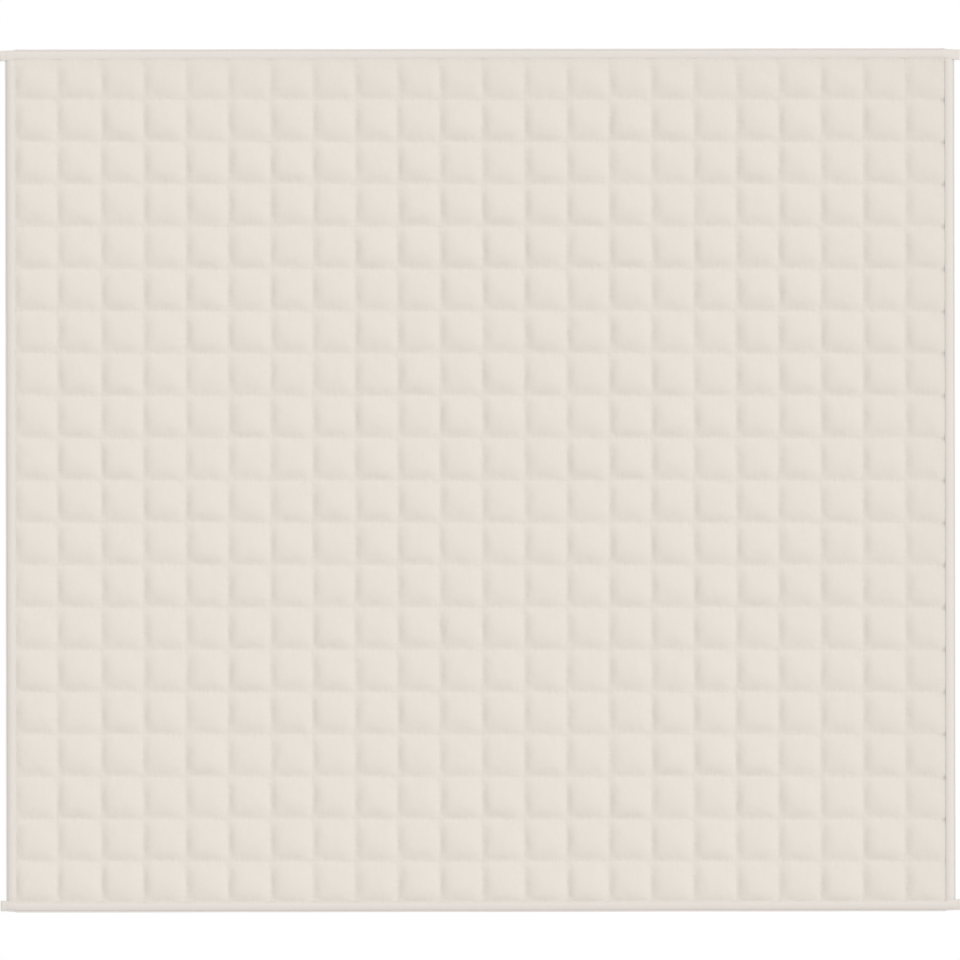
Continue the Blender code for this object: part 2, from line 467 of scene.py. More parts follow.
def held_share(off, seam, first, last, axis):
    """The share of its height that the cover reaches at each distance off the seams of one axis."""
    half = STEPS // 2
    parts = {seam: slice(half, -half), first: slice(0, half), last: slice(-half, None)}
    held = np.moveaxis(np.empty(off.shape), axis, 0)
    off = np.moveaxis(off, axis, 0)
    for name, part in parts.items():
        row = DRAWN[name]
        held[part] = 1 - (1 - row["kept"]) * np.exp(-off[part] / row["length"])
    return np.moveaxis(held, 0, axis)


def drawn_to_seams(points, flat):
    """The filled cover, held down beside its seams and the binding, where the filling doesn't reach."""
    off_x, off_y = seam_distances(*sewn_lines(points.shape))
    sewn_down = seam_height(off_x, off_y)
    reached = held_share(off_x, "column_seam", "left", "right", 0) * held_share(
        off_y, "row_seam", "bottom", "top", 1
    )
    height = sewn_down + (points[..., 2] - flat[..., 2]) * reached
    (_, right), (_, top) = binding_edges()
    height += TOP_SHOULDER * np.exp(-abs(top - flat[..., 1]) / TOP_SHOULDER_LENGTH)
    points[..., 2] = height - PIT * in_pits(flat, right)
    return points


def in_pits(flat, right):
    """How deep each point lies in one of the pits by the right binding, 0 to 1. The lowest row seam
    has none."""
    nearest = np.rint(np.arange(flat.shape[1]) / STEPS).astype(int) * STEPS
    over_seam = flat[..., 1] - flat[:, nearest, 1]
    across = np.exp(-(((right - PIT_IN - flat[..., 0]) / PIT_LENGTH) ** 2))
    along = np.exp(-(((over_seam + PIT_BELOW) / PIT_WIDTH) ** 2))
    depth = across * along
    depth[:, : STEPS + STEPS // 2] = 0
    depth[:, -(STEPS // 2) :] = 0
    return depth


def with_flange(points, height):
    """A grid of points with one more row on every side, the flange inside the binding."""
    wide = np.pad(points, ((1, 1), (1, 1), (0, 0)), mode="edge")
    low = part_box("binding_left")[0].x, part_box("binding_bottom")[0].y
    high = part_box("binding_right")[1].x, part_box("binding_top")[1].y
    wide[0, :, 0], wide[-1, :, 0] = low[0] + FLANGE_INSET, high[0] - FLANGE_INSET
    wide[:, 0, 1], wide[:, -1, 1] = low[1] + FLANGE_INSET, high[1] - FLANGE_INSET
    for rim in (wide[0], wide[-1], wide[:, 0], wide[:, -1]):
        rim[:, 2] = height
    return wide


def underside_lines(pockets):
    """Which lines of the upper cover, flange included, the underside takes along one axis."""
    inner = [1 + n * STEPS + line for n in range(pockets) for line in UNDERSIDE_LINES]
    last = pockets * STEPS + 1
    return [0, *inner, last, last + 1]


def underside(flat):
    """The underside's points: pressed flat on the floor, and up at seam height on its seams."""
    columns, rows = underside_lines(COLUMNS), underside_lines(ROWS)
    under = with_flange(flat, SEAM_BOTTOM)[np.ix_(columns, rows)]
    sewn_x = (np.arange(len(columns)) - 1) % len(UNDERSIDE_LINES) == 0
    sewn_y = (np.arange(len(rows)) - 1) % len(UNDERSIDE_LINES) == 0
    sewn_x[[0, -1]] = True
    sewn_y[[0, -1]] = True
    under[..., 2] = np.where(sewn_x[:, None] | sewn_y[None, :], SEAM_BOTTOM, 0)
    return under, columns, rows


def seam_distances(columns, rows):
    """How far each crossing of the mesh's lines lies from the nearest seam across X and across Y."""
    shares = np.array(TOP_SHARES[:-1])
    share_x = shares[(np.array(columns) - 1) % STEPS]
    share_y = shares[(np.array(rows) - 1) % STEPS]
    off_x = np.minimum(share_x, 1 - share_x) * POCKET
    off_y = np.minimum(share_y, 1 - share_y) * POCKET
    return np.meshgrid(off_x, off_y, indexing="ij")


def filled_cover(flat, sewn):
    """The upper cover's points when it is filled, settled and held down by its seams."""
    points = filled(flat, sewn)
    points = settled(points, sewn)
    return drawn_to_seams(points, flat)


def make_cover(flat, upper):
    """The whole cover as one closed body: its filled top, its underside and the rim between them."""
    top = with_flange(upper, SEAM_TOP)
    under, columns, rows = underside(flat)
    top_numbers = np.arange(top[..., 0].size).reshape(top.shape[:2])
    under_numbers = top_numbers.size + np.arange(under[..., 0].size).reshape(under.shape[:2])
    faces = grid_faces(top_numbers) + [face[::-1] for face in grid_faces(under_numbers)]
    for upper, lower, taken, turned in (
        (top_numbers[:, 0], under_numbers[:, 0], columns, False),
        (top_numbers[:, -1], under_numbers[:, -1], columns, True),
        (top_numbers[0], under_numbers[0], rows, True),
        (top_numbers[-1], under_numbers[-1], rows, False),
    ):
        for n, (start, end) in enumerate(zip(taken, taken[1:])):
            rim = [int(v) for v in (lower[n], lower[n + 1], *upper[start : end + 1][::-1])]
            faces.append(rim[::-1] if turned else rim)
    cover = object_from(
        "quilted_cover", np.concatenate([top.reshape(-1, 3), under.reshape(-1, 3)]), faces
    )
    over_x, over_y = seam_distances(range(top.shape[0]), range(top.shape[1]))
    under_x, under_y = seam_distances(columns, rows)
    keep_values(cover, "off_column_seam", np.concatenate([over_x.ravel(), under_x.ravel()]))
    keep_values(cover, "off_row_seam", np.concatenate([over_y.ravel(), under_y.ravel()]))
    (_, right), (_, top_edge) = binding_edges()
    # Painted shade for the material: darker in the pits and beside the right and the top binding.
    painted_shade = in_pits(flat, right)
    off_edge = {"right": abs(right - flat[..., 0]), "top": abs(top_edge - flat[..., 1])}
    for row in SHADED:
        painted_shade += row["share"] * np.exp(-off_edge[row["side"]] / row["length"])
    painted_shade = np.pad(painted_shade, 1, mode="edge")
    keep_values(cover, "painted_shade", np.concatenate([painted_shade.ravel(), np.zeros(under_x.size)]))
    return cover


# ---------------------------------------------------------------- the binding strips

def strip_stations(length, end_steps):
    """Places of a strip's sections from one end of it to the other, close together near its ends."""
    end_steps = np.array(end_steps)
    plain = np.linspace(end_steps[-1], length - end_steps[-1], round(length / STRIP_STEP))
    return np.concatenate([end_steps[:-1], plain, length - end_steps[-2::-1]])


def crossing_steps():
    """Places in from a free end: those of its own table, then a close row across the side strip."""
    places = [row["in"] for row in FREE_END]
    own = [place for place in places if place <= CROSSING_FROM]
    end = places[-1] + 2 * CROSSING_STEP
    return np.concatenate([own, np.arange(own[-1] + CROSSING_STEP, end, CROSSING_STEP)])


def strip_section(row, width, at, seed):
    """The outer face of a strip at each of its stations, outwards and up, before its ends are
    shaped. Its width, its fullness and its fine puckers vary along it."""
    share = np.array([point["out"] for point in STRIP_FACE])
    share = share + row["crease_out"] * np.clip(1 - abs(share - SHIFT_MIDDLE) / SHIFT_REACH, 0, 1)
    up = np.array([point["up"] for point in STRIP_FACE])
    over = np.arange(len(up)) <= OUTER_EDGE
    near_inner = np.clip(1 - share / RAISED_REACH, 0, 1)
    raised = row["raised"] * near_inner**2 * over
    raised[0] = 0
    loft = np.where(over, up - SEAM_TOP, 0).clip(0)
    up = np.tile(up + raised, (len(at), 1))

    long_wander, short_wander = STRIP_WANDER_LENGTHS
    wander = 0.7 * unevenness(at, long_wander, seed) + 0.3 * unevenness(at, short_wander, seed + 0.4)
    out = share * (width - STRIP_INSET + STRIP_WANDER * wander[:, None])
    out = out - row["lap"] * near_inner * over
    uneven = unevenness(at, STRIP_FULLNESS_LENGTH, seed + 0.7)
    fullness = row["full"] - 1 + STRIP_FULLNESS * uneven
    up += loft * fullness[:, None]
    puckered = over * np.clip(np.sin(np.pi * np.clip(share / 0.8, 0, 1)), 0, 1)
    for n, place in enumerate(at / STRIP_PUCKER_LENGTH):
        fine = [noise.noise(Vector((place, STRIP_PUCKERS_ACROSS * s, seed))) for s in share]
        up[n] += STRIP_PUCKER * np.array(fine) * puckered
    return out, up


def press_free_ends(out, up, from_end, at_left):
    """Presses a strip's two layers together towards its free ends, which narrow too. Only its left
    end is folded in at its tip, and has a dip behind the fold."""
    places = [row["in"] for row in FREE_END]
    full_left = np.array([row["full"] for row in FREE_END])
    full_right = np.maximum.accumulate(full_left)
    full = np.where(
        at_left, np.interp(from_end, places, full_left), np.interp(from_end, places, full_right)
    )[:, None]
    wide = np.interp(from_end, places, [row["wide"] for row in FREE_END])[:, None]
    drawn = np.interp(from_end, places, [row["drawn"] for row in FREE_END])[:, None]
    flat = 2 * TAPE + TAPE_GAP
    over = (np.arange(up.shape[1]) <= OUTER_EDGE) & (up > flat)
    return out * wide - drawn, np.where(over, flat + (up - flat) * full, up)


def drape_over_side_strips(out, up, past_corner):
    """Raises the inner half of a top or bottom strip to follow the side strip that it covers, and
    lowers its underside to the floor there. past_corner is measured inwards from the corner."""
    side_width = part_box("binding_left")[1].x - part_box("binding_left")[0].x
    face = STRIP_FACE[1 : OUTER_EDGE + 1]
    shares, heights = [np.array([point[key] for point in face]) for key in ("out", "up")]
    below = np.interp(1 - past_corner / side_width, shares, squeezed(heights), left=0, right=0)
    covering = smooth_share(past_corner, *DRAPE_RISES) * (
        1 - smooth_share(past_corner - side_width, *DRAPE_FALLS)
    )
    over = np.arange(up.shape[1]) <= OUTER_EDGE
    near_edge = covering[:, None] * (1 - smooth_share(out, *DRAPED))
    tape = TAPE * np.clip(np.arange(up.shape[1]) / 2, 0.1, 1)
    lift = (below[:, None] + tape - up).clip(0) * near_edge
    return np.where(over, up + lift, (up - TAPE * near_edge).clip(0))


def squeezed(up):
    """The heights of a side strip's section where it is tucked under another strip."""
    return TUCKED_LOW + up * (TUCKED_HIGH - TUCKED_LOW) / STRIP_TOP


def squeeze_tucked_ends(up, from_end):
    """Squeezes a side strip towards its ends, which lie inside the top and bottom strips."""
    tucked = 1 - smooth_share(from_end, TUCK, TUCK + TUCK_TAPER)[:, None]
    return up + (squeezed(up) - up) * tucked


def inner_face(out, up):
    """The strip's inner face, a tape's thickness inside its outer one."""
    step_out, step_up = np.diff(out, axis=1), np.diff(up, axis=1)
    length = np.hypot(step_out, step_up)
    step_out, step_up = step_out / length, step_up / length
    run_out = np.pad(step_out, ((0, 0), (1, 0)), "edge") + np.pad(step_out, ((0, 0), (0, 1)), "edge")
    run_up = np.pad(step_up, ((0, 0), (1, 0)), "edge") + np.pad(step_up, ((0, 0), (0, 1)), "edge")
    size = np.hypot(run_out, run_up)
    return out + TAPE * run_up / size, up - TAPE * run_out / size


def make_strip(row, seed):
    """One binding strip, a tape folded round the quilt's edge."""
    low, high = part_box(f"binding_{row['side']}")
    outwards = Vector((*row["outwards"], 0))
    along = Vector((outwards.y, -outwards.x, 0))
    inner_edge, outer_edge = sorted((low.dot(outwards), high.dot(outwards)))
    start, end = sorted((low.dot(along), high.dot(along)))
    tucked = row["side"] in ("left", "right")
    if tucked:
        start, end = start - TUCK, end + TUCK
    length = end - start

    at = strip_stations(length, TUCKED_END if tucked else crossing_steps())
    from_end = np.minimum(at, length - at)
    out, up = strip_section(row, outer_edge - inner_edge, at, seed)
    if tucked:
        up = squeeze_tucked_ends(up, from_end)
    else:
        at_left = along.x * (start + at) < 0
        out, up = press_free_ends(out, up, from_end, at_left)
        past_end = high.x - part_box("binding_right")[1].x
        up = drape_over_side_strips(out, up, from_end - past_end)
    inside_out, inside_up = inner_face(out, up)
    ring_out = np.concatenate([out, inside_out[:, ::-1]], axis=1)
    ring_up = np.concatenate([up, inside_up[:, ::-1]], axis=1)

    stations, sides = ring_out.shape
    points = (
        np.array(outwards) * (inner_edge + ring_out[..., None])
        + np.array(along) * (start + at[:, None, None])
        + np.array((0, 0, 1)) * ring_up[..., None]
    )
    numbers = np.arange(stations * sides).reshape(stations, sides)
    faces = grid_faces(np.column_stack([numbers, numbers[:, 0]]))
    for section, turned in ((numbers[0].tolist(), False), (numbers[-1].tolist(), True)):
        for k in range(sides // 2 - 1):
            cap = [section[k], section[k + 1], section[-2 - k], section[-1 - k]]
            faces.append(cap[::-1] if turned else cap)
    strip = object_from(f"bound_{row['side']}", points, faces)
    strip.data.set_sharp_from_angle(angle=math.radians(60))
    share = np.array([point["out"] for point in STRIP_FACE])
    towards = np.tile([*share, *share[::-1]], (stations, 1))
    # Painted shade on the free ends: the crease's dark line moves outwards, and a left-hand tip and the
    # inner edge past the side strip take the crease's painted shade too.
    if not tucked:
        by_end = (at_left * (1 - smooth_share(from_end, *TIP_PAINTED_SHADE)))[:, None]
        by_edge = (1 - smooth_share(from_end - past_end, *INNER_EDGE_PAINTED_SHADE))[:, None] * (
            1 - smooth_share(towards, *INNER_EDGE_WIDTH)
        )
        towards -= row["line_runs_out"] * (1 - smooth_share(from_end, *LINE_RUNS_OUT))[:, None]
        towards += (CREASE - towards) * np.maximum(by_end, by_edge)
    keep_values(strip, "towards_edge", towards)
    return strip


# ---------------------------------------------------------------- the stitches

def stitch_tree():
    """A node tree that sets stitches end to end along the edges of a mesh."""
    tree = bpy.data.node_groups.new("stitch_row", "GeometryNodeTree")
    tree.interface.new_socket("Geometry", in_out="INPUT", socket_type="NodeSocketGeometry")
    pitch = tree.interface.new_socket("Pitch", in_out="INPUT", socket_type="NodeSocketFloat")
    size = tree.interface.new_socket("Size", in_out="INPUT", socket_type="NodeSocketVector")
    sides = tree.interface.new_socket("Sides", in_out="INPUT", socket_type="NodeSocketInt")
    seed = tree.interface.new_socket("Seed", in_out="INPUT", socket_type="NodeSocketInt")
    thread = tree.interface.new_socket("Thread", in_out="INPUT", socket_type="NodeSocketMaterial")
    tree.interface.new_socket("Geometry", in_out="OUTPUT", socket_type="NodeSocketGeometry")
    names = {s.name: s.identifier for s in (pitch, size, sides, seed, thread)}

    nodes, links = tree.nodes, tree.links
    entry = nodes.new("NodeGroupInput")
    line = nodes.new("GeometryNodeMeshToCurve")
    spaced = nodes.new("GeometryNodeResampleCurve")
    spaced.mode = "LENGTH"
    tangent = nodes.new("GeometryNodeInputTangent")
    turned = nodes.new("FunctionNodeAlignRotationToVector")
    turned.axis = "X"
    slack = nodes.new("FunctionNodeRandomValue")
    slack.data_type = "FLOAT_VECTOR"
    slack.inputs["Min"].default_value = (-0.05, -0.04, -0.10)
    slack.inputs["Max"].default_value = (0.05, 0.04, 0.10)
    skewed = nodes.new("FunctionNodeRotateRotation")
    skewed.rotation_space = "LOCAL"
    bead = nodes.new("GeometryNodeMeshUVSphere")
    bead.inputs["Rings"].default_value = 2
    bead.inputs["Radius"].default_value = 0.5
    shaped = nodes.new("GeometryNodeTransform")
    rounded = nodes.new("GeometryNodeSetShadeSmooth")
    placed = nodes.new("GeometryNodeInstanceOnPoints")
    real = nodes.new("GeometryNodeRealizeInstances")
    coloured = nodes.new("GeometryNodeSetMaterial")
    done = nodes.new("NodeGroupOutput")

    links.new(entry.outputs["Geometry"], line.inputs["Mesh"])
    links.new(line.outputs["Curve"], spaced.inputs["Curve"])
    links.new(entry.outputs["Pitch"], spaced.inputs["Length"])
    links.new(tangent.outputs["Tangent"], turned.inputs["Vector"])
    links.new(entry.outputs["Seed"], slack.inputs["Seed"])
    links.new(turned.outputs["Rotation"], skewed.inputs["Rotation"])
    links.new(slack.outputs["Value"], skewed.inputs["Rotate By"])
    links.new(entry.outputs["Sides"], bead.inputs["Segments"])
    links.new(bead.outputs["Mesh"], shaped.inputs["Geometry"])
    links.new(entry.outputs["Size"], shaped.inputs["Scale"])
    links.new(shaped.outputs["Geometry"], rounded.inputs["Geometry"])
    links.new(spaced.outputs["Curve"], placed.inputs["Points"])
    links.new(rounded.outputs["Geometry"], placed.inputs["Instance"])
    links.new(skewed.outputs["Rotation"], placed.inputs["Rotation"])
    links.new(placed.outputs["Instances"], real.inputs["Geometry"])
    links.new(real.outputs["Geometry"], coloured.inputs["Geometry"])
    links.new(entry.outputs["Thread"], coloured.inputs["Material"])
    links.new(coloured.outputs["Geometry"], done.inputs["Geometry"])
    return tree, names


def make_stitches(name, lines, size, sides, seed, thread, stitching):
    """The stitches along each of the given lines of points, as one plain mesh."""
    tree, names = stitching
    points = np.concatenate(lines)
    edges = []
    for line in lines:
        first = edges[-1][1] + 1 if edges else 0
        edges += [(first + n, first + n + 1) for n in range(len(line) - 1)]
    guide = bpy.data.meshes.new(name)
    guide.from_pydata(points.tolist(), edges, [])
    guide_piece = bpy.data.objects.new(name, guide)
    bpy.context.scene.collection.objects.link(guide_piece)
    sewing = guide_piece.modifiers.new("stitching", "NODES")
    sewing.node_group = tree
    sewing[names["Pitch"]] = STITCH_PITCH
    sewing[names["Size"]] = size
    sewing[names["Sides"]] = sides
    sewing[names["Seed"]] = seed
    sewing[names["Thread"]] = thread
    bpy.context.view_layer.update()
    depsgraph = bpy.context.evaluated_depsgraph_get()
    mesh = bpy.data.meshes.new_from_object(guide_piece.evaluated_get(depsgraph))
    bpy.data.objects.remove(guide_piece)
    bpy.data.meshes.remove(guide)
    mesh.name = name
    stitches = bpy.data.objects.new(name, mesh)
    bpy.context.scene.collection.objects.link(stitches)
    return stitches


def seam_lines(upper):
    """The lines of the seams along Y and of those along X, just over the cover."""
    raised = upper + np.array((0, 0, STITCH_RISE))
    up_seams = [raised[n * STEPS] for n in range(1, COLUMNS)]
    cross_seams = [raised[:, n * STEPS] for n in range(1, ROWS)]
    return up_seams, cross_seams


def binding_line(strip, inset):
    """The line along a strip's top face where it is sewn down, inset from its inner edge."""
    sides = 2 * len(STRIP_FACE)
    points = np.zeros(len(strip.data.vertices) * 3)
    strip.data.vertices.foreach_get("co", points)
    ring = points.reshape(-1, sides, 3)[:, 1 : OUTER_EDGE + 1]
    flat_run = np.linalg.norm((ring - ring[:, :1])[..., :2], axis=2)
    line = []
    for section, run in zip(ring, flat_run):
        line.append([np.interp(inset, run, section[:, axis]) for axis in range(3)])
    return np.array(line)[UNSTITCHED:-UNSTITCHED] + np.array((0, 0, STITCH_RISE))


# ---------------------------------------------------------------- materials

def node_group(name, inputs, outputs):
    """An empty shader node group with its inputs and outputs, and its entry and exit nodes."""
    group = bpy.data.node_groups.new(name, "ShaderNodeTree")
    for socket, kind, value in inputs:
        made = group.interface.new_socket(socket, in_out="INPUT", socket_type=kind)
        if value is not None:
            made.default_value = value
    for socket, kind in outputs:
        group.interface.new_socket(socket, in_out="OUTPUT", socket_type=kind)
    return group, group.nodes.new("NodeGroupInput"), group.nodes.new("NodeGroupOutput")


def math_node(tree, operation, *values):
    """A math node's output. Each value is a number or another node's output."""
    node = tree.nodes.new("ShaderNodeMath")
    node.operation = operation
    for socket, value in zip(node.inputs, values):
        if isinstance(value, (int, float)):
            socket.default_value = value
        else:
            tree.links.new(value, socket)
    return node.outputs["Value"]


def noise_output(tree, vector, scale, detail=2.0, stretch=None):
    """A noise texture's value on the given coordinates, stretched along their axes where asked."""
    if stretch:
        mapping = tree.nodes.new("ShaderNodeMapping")
        mapping.vector_type = "POINT"
        mapping.inputs["Scale"].default_value = stretch
        tree.links.new(vector, mapping.inputs["Vector"])
        vector = mapping.outputs["Vector"]
    texture = tree.nodes.new("ShaderNodeTexNoise")
    texture.inputs["Scale"].default_value = scale
    texture.inputs["Detail"].default_value = detail
    tree.links.new(vector, texture.inputs["Vector"])
    return texture.outputs["Fac"]


def weave_group():
    """A plain weave: rounded threads that pass over and under each other."""
    group, entry, end = node_group(
        "plain_weave",
        [("Vector", "NodeSocketVector", None), ("Thread", "NodeSocketFloat", 0.0005)],
        [("Height", "NodeSocketFloat"), ("Tone", "NodeSocketFloat")],
    )
    split = group.nodes.new("ShaderNodeSeparateXYZ")
    group.links.new(entry.outputs["Vector"], split.inputs["Vector"])
    waves = []
    for axis in ("X", "Y"):
        count = math_node(group, "DIVIDE", split.outputs[axis], entry.outputs["Thread"])
        waves.append(math_node(group, "SINE", math_node(group, "MULTIPLY", count, math.pi)))
    crossing = math_node(group, "MULTIPLY", *waves)
    height = math_node(group, "POWER", math_node(group, "ABSOLUTE", crossing), 0.6)
    group.links.new(height, end.inputs["Height"])
    tone = math_node(group, "MULTIPLY_ADD", crossing, 0.5, 0.5)
    group.links.new(tone, end.inputs["Tone"])
    return group


def tone_group():
    """Uneven dyeing and yarn: a tone of about -1 to 1, soft patches with fine streaks in them."""
    group, entry, end = node_group(
        "uneven_tone",
        [("Vector", "NodeSocketVector", None)],
        [("Tone", "NodeSocketFloat")],
    )
    vector = entry.outputs["Vector"]
    patches = noise_output(group, vector, 4.5, 3.0)
    blots = noise_output(group, vector, 38.0, 2.0)
    yarn_x = noise_output(group, vector, 1.0, 2.0, (12, 650, 12))
    yarn_y = noise_output(group, vector, 1.0, 2.0, (650, 12, 12))
    yarns = math_node(group, "ADD", yarn_x, yarn_y)
    large = math_node(group, "MULTIPLY_ADD", patches, 1.6, -0.8)
    middle = math_node(group, "MULTIPLY_ADD", blots, 1.4, -0.7)
    small = math_node(group, "MULTIPLY_ADD", yarns, 0.6, -0.6)
    total = math_node(group, "ADD", math_node(group, "ADD", large, middle), small)
    group.links.new(total, end.inputs["Tone"])
    return group


def pucker_group():
    """Fine gathers across a line of stitches: ripples that die out away from it."""
    group, entry, end = node_group(
        "seam_puckers",
        [
            ("Vector", "NodeSocketVector", None),
            ("Off Seam", "NodeSocketFloat", 0.0),
            ("Reach", "NodeSocketFloat", 0.01),
            ("Stretch", "NodeSocketVector", None),
        ],
        [("Height", "NodeSocketFloat")],
    )
    mapping = group.nodes.new("ShaderNodeMapping")
    group.links.new(entry.outputs["Vector"], mapping.inputs["Vector"])
    group.links.new(entry.outputs["Stretch"], mapping.inputs["Scale"])
    ripples = noise_output(group, mapping.outputs["Vector"], 1.0, 1.0)
    away = math_node(group, "DIVIDE", entry.outputs["Off Seam"], entry.outputs["Reach"])
    near = math_node(group, "EXPONENT", math_node(group, "MULTIPLY", away, -1.0))
    group.links.new(math_node(group, "MULTIPLY", ripples, near), end.inputs["Height"])
    return group


def group_node(tree, group, **links):
    """A node that uses a group, with its inputs linked or set by name."""
    node = tree.nodes.new("ShaderNodeGroup")
    node.node_tree = group
    for name, value in links.items():
        socket = node.inputs[name.replace("_", " ").title()]
        if isinstance(value, bpy.types.NodeSocket):
            tree.links.new(value, socket)
        else:
            socket.default_value = value
    return node


def attribute_output(tree, name):
    """A value that the piece's points hold, under the name that it was stored by."""
    node = tree.nodes.new("ShaderNodeAttribute")
    node.attribute_name = name
    return node.outputs["Fac"]


def bump_node(tree, height, distance, under=None):
    """A bump node's normal. Under is the normal of a coarser bump below it."""
    node = tree.nodes.new("ShaderNodeBump")
    node.inputs["Distance"].default_value = distance
    tree.links.new(height, node.inputs["Height"])
    if under:
        tree.links.new(under, node.inputs["Normal"])
    return node.outputs["Normal"]


def varied_colour(tree, colour, shade):
    """The colour made lighter or darker by a shade of about 1."""
    node = tree.nodes.new("ShaderNodeVectorMath")
    node.operation = "SCALE"
    node.inputs["Vector"].default_value = colour
    tree.links.new(shade, node.inputs["Scale"])
    return node.outputs["Vector"]


def cloth_material(name, roughness, sheen):
    """A cloth material, its node tree, its shader and the object's own coordinates."""
    material = bpy.data.materials.new(name)
    material.use_nodes = True
    tree = material.node_tree
    shader = tree.nodes["Principled BSDF"]
    shader.inputs["Roughness"].default_value = roughness
    shader.inputs["Sheen Weight"].default_value = sheen
    shader.inputs["Sheen Roughness"].default_value = 0.6
    shader.inputs["Specular IOR Level"].default_value = 0.2
    coordinates = tree.nodes.new("ShaderNodeTexCoord").outputs["Object"]
    return material, tree, shader, coordinates


def cover_material(groups):
    """Smooth cream cotton, gathered a little along its seams."""
    material, tree, shader, where = cloth_material("cotton_cover", COVER_ROUGHNESS, 0.08)
    weave = group_node(tree, groups["weave"], vector=where, thread=0.00045)
    tone = group_node(tree, groups["tone"], vector=where).outputs["Tone"]
    off_column = attribute_output(tree, "off_column_seam")
    off_row = attribute_output(tree, "off_row_seam")
    column_puckers = group_node(
        tree, groups["puckers"], vector=where, off_seam=off_column, reach=PUCKER_REACH,
        stretch=(PUCKERS["across"], PUCKERS["along"], PUCKERS["across"]),
    )
    row_puckers = group_node(
        tree, groups["puckers"], vector=where, off_seam=off_row, reach=PUCKER_REACH,
        stretch=(PUCKERS["along"], PUCKERS["across"], PUCKERS["across"]),
    )
    puckers = math_node(
        tree, "ADD", column_puckers.outputs["Height"], row_puckers.outputs["Height"]
    )
    wrinkles = math_node(tree, "MULTIPLY_ADD", noise_output(tree, where, 30.0, 2.0), 1.4, puckers)
    soft = bump_node(tree, wrinkles, COVER_WRINKLES)
    fine = bump_node(tree, weave.outputs["Height"], WEAVE_HEIGHT, soft)
    tree.links.new(fine, shader.inputs["Normal"])

    # Darker right on the seams, partly from their needle holes and partly painted shade in their
    # grooves.
    nearest = math_node(tree, "MINIMUM", off_column, off_row)
    in_seam = math_node(tree, "EXPONENT", math_node(tree, "MULTIPLY", nearest, -SEAM_FADE))
    shade = math_node(tree, "MULTIPLY_ADD", tone, DYE_TONE, 1.0)
    shade = math_node(tree, "MULTIPLY_ADD", weave.outputs["Tone"], WEAVE_TONE, shade)
    in_seam = math_node(tree, "MULTIPLY", in_seam, SEAM_HOLES_AND_PAINTED_SHADE)
    shade = math_node(tree, "SUBTRACT", shade, in_seam)
    # Painted shade in the pits and beside the right and the top binding, where less light reaches.
    painted_shade = math_node(tree, "MULTIPLY", attribute_output(tree, "painted_shade"), PAINTED_SHADE_DARKNESS)
    shade = math_node(tree, "SUBTRACT", shade, painted_shade)
    tree.links.new(varied_colour(tree, COVER_COLOUR, shade), shader.inputs["Base Color"])
    rough = math_node(tree, "MULTIPLY_ADD", tone, DYE_ROUGHNESS, COVER_ROUGHNESS)
    tree.links.new(rough, shader.inputs["Roughness"])
    return material


def tape_material(groups):
    """The binding's tape: the same cotton, a little greyer and closer, with painted shade along its
    crease.
    """
    material, tree, shader, where = cloth_material("cotton_tape", TAPE_ROUGHNESS, 0.10)
    weave = group_node(tree, groups["weave"], vector=where, thread=0.00035)
    tone = group_node(tree, groups["tone"], vector=where).outputs["Tone"]
    creases = noise_output(tree, where, 90.0, 2.0)
    soft = bump_node(tree, creases, TAPE_WRINKLES)
    fine = bump_node(tree, weave.outputs["Height"], WEAVE_HEIGHT, soft)
    tree.links.new(fine, shader.inputs["Normal"])

    # Painted shade: a dark line along the crease, also laid on a left-hand tip and a free end's inner
    # edge.
    towards_edge = attribute_output(tree, "towards_edge")
    off_crease = math_node(tree, "SUBTRACT", towards_edge, CREASE)
    spread = math_node(tree, "POWER", math_node(tree, "DIVIDE", off_crease, CREASE_SPREAD), 2.0)
    crease = math_node(tree, "EXPONENT", math_node(tree, "MULTIPLY", spread, -1.0))
    crease = math_node(tree, "MULTIPLY", crease, CREASE_PAINTED_SHADE)
    shade = math_node(tree, "MULTIPLY_ADD", tone, DYE_TONE, 1.0)
    shade = math_node(tree, "MULTIPLY_ADD", weave.outputs["Tone"], WEAVE_TONE, shade)
    shade = math_node(tree, "SUBTRACT", shade, crease)
    tree.links.new(varied_colour(tree, TAPE_COLOUR, shade), shader.inputs["Base Color"])
    rough = math_node(tree, "MULTIPLY_ADD", tone, DYE_ROUGHNESS, TAPE_ROUGHNESS)
    tree.links.new(rough, shader.inputs["Roughness"])
    return material


def thread_material(groups):
    """Twisted cotton thread, a shade lighter and shinier than the cloth."""
    material, tree, shader, where = cloth_material("cotton_thread", THREAD_ROUGHNESS, 0.05)
    tone = group_node(tree, groups["tone"], vector=where).outputs["Tone"]
    twist = noise_output(tree, where, 2600.0, 1.0)
    tree.links.new(bump_node(tree, twist, 0.00008), shader.inputs["Normal"])
    shade = math_node(tree, "MULTIPLY_ADD", tone, 0.02, 1.0)
    tree.links.new(varied_colour(tree, THREAD_COLOUR, shade), shader.inputs["Base Color"])
    return material


# ---------------------------------------------------------------- the studio

def make_floor():
    """A plain pale floor, just under the blanket, lit a little from within so that it stays white."""
    half, low = FLOOR_HALF, -FLOOR_GAP
    corners = [(-half, -half, low), (half, -half, low), (half, half, low), (-half, half, low)]
    floor = object_from("floor", corners, [(0, 1, 2, 3)])
    material = bpy.data.materials.new("pale_floor")
    material.use_nodes = True
    shader = material.node_tree.nodes["Principled BSDF"]
    shader.inputs["Base Color"].default_value = FLOOR_COLOUR
    shader.inputs["Roughness"].default_value = 0.9
    shader.inputs["Emission Color"].default_value = (1, 1, 1, 1)
    shader.inputs["Emission Strength"].default_value = FLOOR_GLOW
    floor.data.materials.append(material)


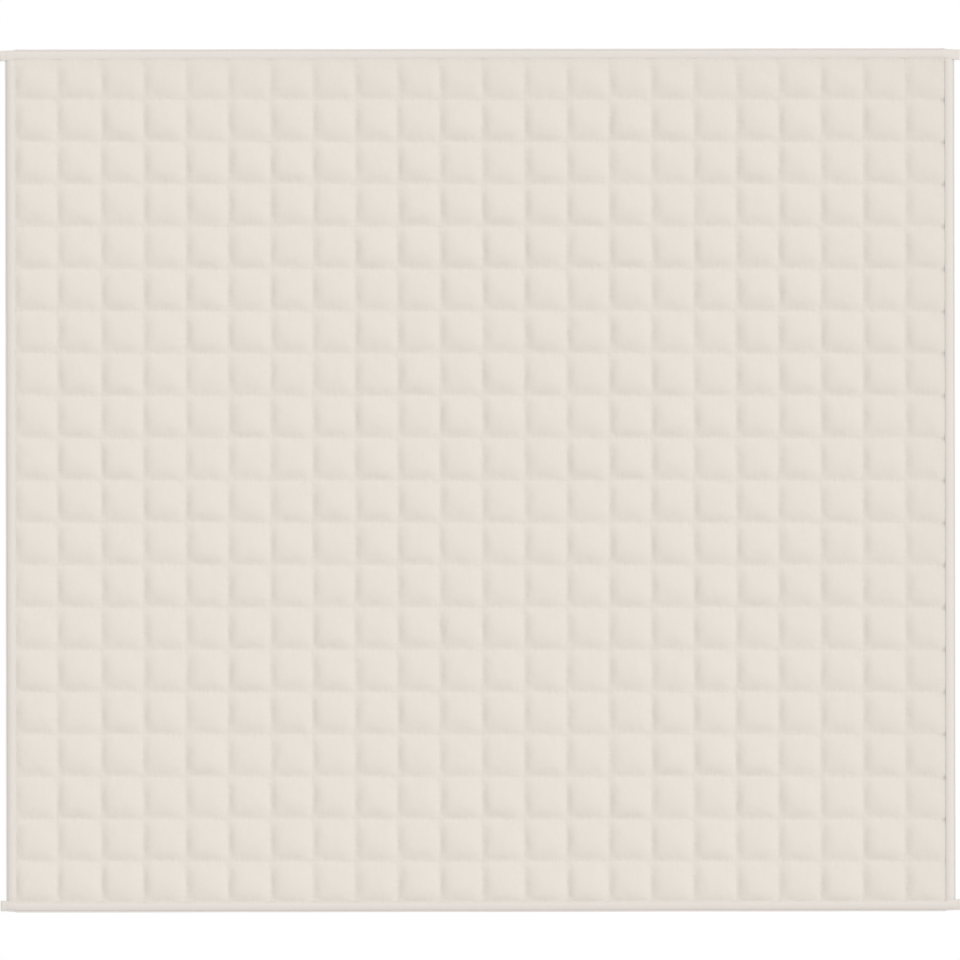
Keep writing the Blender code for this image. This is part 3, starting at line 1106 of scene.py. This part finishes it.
def make_lights():
    """Even, slightly warm light from all round, and a soft, cooler key light from the far right."""
    world = bpy.data.worlds.new("studio")
    bpy.context.scene.world = world
    world.use_nodes = True
    tree = world.node_tree
    surround = tree.nodes["Background"]
    surround.inputs["Color"].default_value = SURROUND_COLOUR
    direction = tree.nodes.new("ShaderNodeSeparateXYZ")
    tree.links.new(tree.nodes.new("ShaderNodeTexCoord").outputs["Generated"], direction.inputs[0])
    overhead = SURROUND_STRENGTH * SURROUND_OVERHEAD
    brightness = math_node(
        tree, "MULTIPLY_ADD", direction.outputs["Z"], overhead, SURROUND_STRENGTH - overhead
    )
    tree.links.new(brightness, surround.inputs["Strength"])
    lamp = bpy.data.lights.new("key", "SUN")
    lamp.energy = KEY_STRENGTH
    lamp.color = KEY_COLOUR
    lamp.angle = KEY_SOFTNESS
    key = bpy.data.objects.new("key", lamp)
    bpy.context.scene.collection.objects.link(key)
    flat = math.cos(KEY_ELEVATION)
    towards = Vector(
        (flat * math.cos(KEY_AZIMUTH), flat * math.sin(KEY_AZIMUTH), math.sin(KEY_ELEVATION))
    )
    key.location = towards * 4
    key.rotation_euler = towards.to_track_quat("Z", "Y").to_euler()
    bpy.context.scene.view_settings.view_transform = "Standard"


def make_camera():
    """A long lens straight above the blanket."""
    camera = bpy.data.cameras.new("camera")
    camera.lens = LENS
    camera.sensor_width = SENSOR
    viewer = bpy.data.objects.new("camera", camera)
    bpy.context.scene.collection.objects.link(viewer)
    viewer.location = (*VIEW_CENTRE, VIEW_WIDTH * LENS / SENSOR)
    viewer.rotation_euler = (0, 0, VIEW_ROLL)
    bpy.context.scene.camera = viewer


# ---------------------------------------------------------------- everything together

def dress(piece, material, slot, *nodes):
    """Puts a piece on the blanket's one body, in its material, for the solids it stands for."""
    if material:
        piece.data.materials.append(material)
    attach(piece, "root")
    if nodes:
        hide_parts(*nodes)


make_camera()
make_lights()
make_floor()
groups = {"weave": weave_group(), "tone": tone_group(), "puckers": pucker_group()}
thread = thread_material(groups)
tape = tape_material(groups)

flat, sewn = flat_cover()
upper = filled_cover(flat, sewn)
cover = make_cover(flat, upper)
dress(cover, cover_material(groups), "quilt_cover", "quilt")

strips = []
for seed, row in enumerate(BINDING, 1):
    strip = make_strip(row, seed)
    dress(strip, tape, "binding_tape", f"binding_{row['side']}")
    strips.append(strip)

stitching = stitch_tree()
up_seams, cross_seams = seam_lines(upper)
binding_lines = [binding_line(strip, BINDING_STITCH_INSET) for strip in strips]
for name, lines, size, sides, seed in (
    ("stitches_up", up_seams, SEAM_STITCH, 4, 1),
    ("stitches_across", cross_seams, SEAM_STITCH, 4, 2),
    ("stitches_binding", binding_lines, BINDING_STITCH, 6, 3),
):
    stitches = make_stitches(name, lines, size, sides, seed, thread, stitching)
    dress(stitches, None, "binding_tape" if "binding" in name else "quilt_cover")
